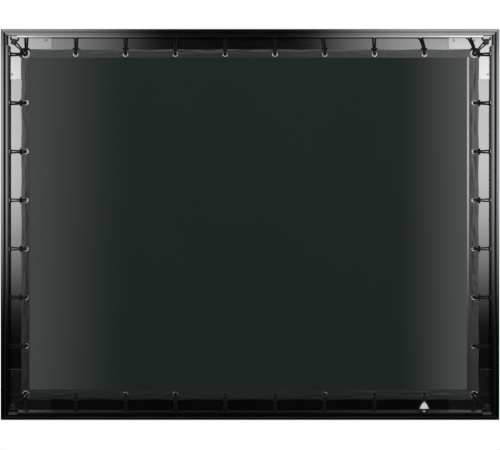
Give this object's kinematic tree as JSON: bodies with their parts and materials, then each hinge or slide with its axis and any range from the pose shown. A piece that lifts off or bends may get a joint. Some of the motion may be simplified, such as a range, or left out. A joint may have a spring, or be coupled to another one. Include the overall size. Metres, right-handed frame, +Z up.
{
  "type": "fixed frame projector screen",
  "caption": "Wall-hung projector screen: a film sheet stretched by rubber rings in a mitred black aluminium frame, built with its back as shown.",
  "frame": {"origin": "middle of the top rail's outer rear lip, on the wall plane", "axes": "+X to the audience's right, +Y from the audience towards the wall, +Z up"},
  "size_m": [1.176, 0.034, 0.922],
  "materials": {
    "rail_black": "semi-gloss black",
    "bracket_metal": "bare, smooth",
    "screen_film": "dark smooth back, matte white front",
    "ring_rubber": "matte",
    "hook_plastic": "matte dark grey",
    "plate_metal": "bright"
  },
  "bodies": {
    "root": {"rail_top": "rail_black", "ring_top_1": "ring_rubber", "ring_top_2": "ring_rubber", "ring_top_3": "ring_rubber", "ring_top_4": "ring_rubber", "ring_top_5": "ring_rubber", "ring_top_6": "ring_rubber", "ring_top_7": "ring_rubber", "ring_top_8": "ring_rubber", "rail_right": "rail_black", "ring_right_1": "ring_rubber", "ring_right_2": "ring_rubber", "ring_right_3": "ring_rubber", "ring_right_4": "ring_rubber", "ring_right_5": "ring_rubber", "ring_right_6": "ring_rubber", "rail_bottom": "rail_black", "ring_bottom_1": "ring_rubber", "ring_bottom_2": "ring_rubber", "ring_bottom_3": "ring_rubber", "ring_bottom_4": "ring_rubber", "ring_bottom_5": "ring_rubber", "ring_bottom_6": "ring_rubber", "ring_bottom_7": "ring_rubber", "ring_bottom_8": "ring_rubber", "rail_left": "rail_black", "ring_left_1": "ring_rubber", "ring_left_2": "ring_rubber", "ring_left_3": "ring_rubber", "ring_left_4": "ring_rubber", "ring_left_5": "ring_rubber", "ring_left_6": "ring_rubber", "corner_bracket_top_left": "bracket_metal", "corner_hook_top_left": "hook_plastic", "ring_top_left_upright": "ring_rubber", "ring_top_left_level": "ring_rubber", "ring_top_left_diagonal": "ring_rubber", "corner_bracket_top_right": "bracket_metal", "corner_hook_top_right": "hook_plastic", "ring_top_right_upright": "ring_rubber", "ring_top_right_level": "ring_rubber", "ring_top_right_diagonal": "ring_rubber", "corner_bracket_bottom_right": "bracket_metal", "corner_hook_bottom_right": "hook_plastic", "ring_bottom_right_upright": "ring_rubber", "ring_bottom_right_level": "ring_rubber", "ring_bottom_right_diagonal": "ring_rubber", "corner_bracket_bottom_left": "bracket_metal", "corner_hook_bottom_left": "hook_plastic", "ring_bottom_left_upright": "ring_rubber", "ring_bottom_left_level": "ring_rubber", "ring_bottom_left_diagonal": "ring_rubber", "projection_sheet": "screen_film", "metal_hook_plate": "plate_metal"}
  },
  "joints": []
}
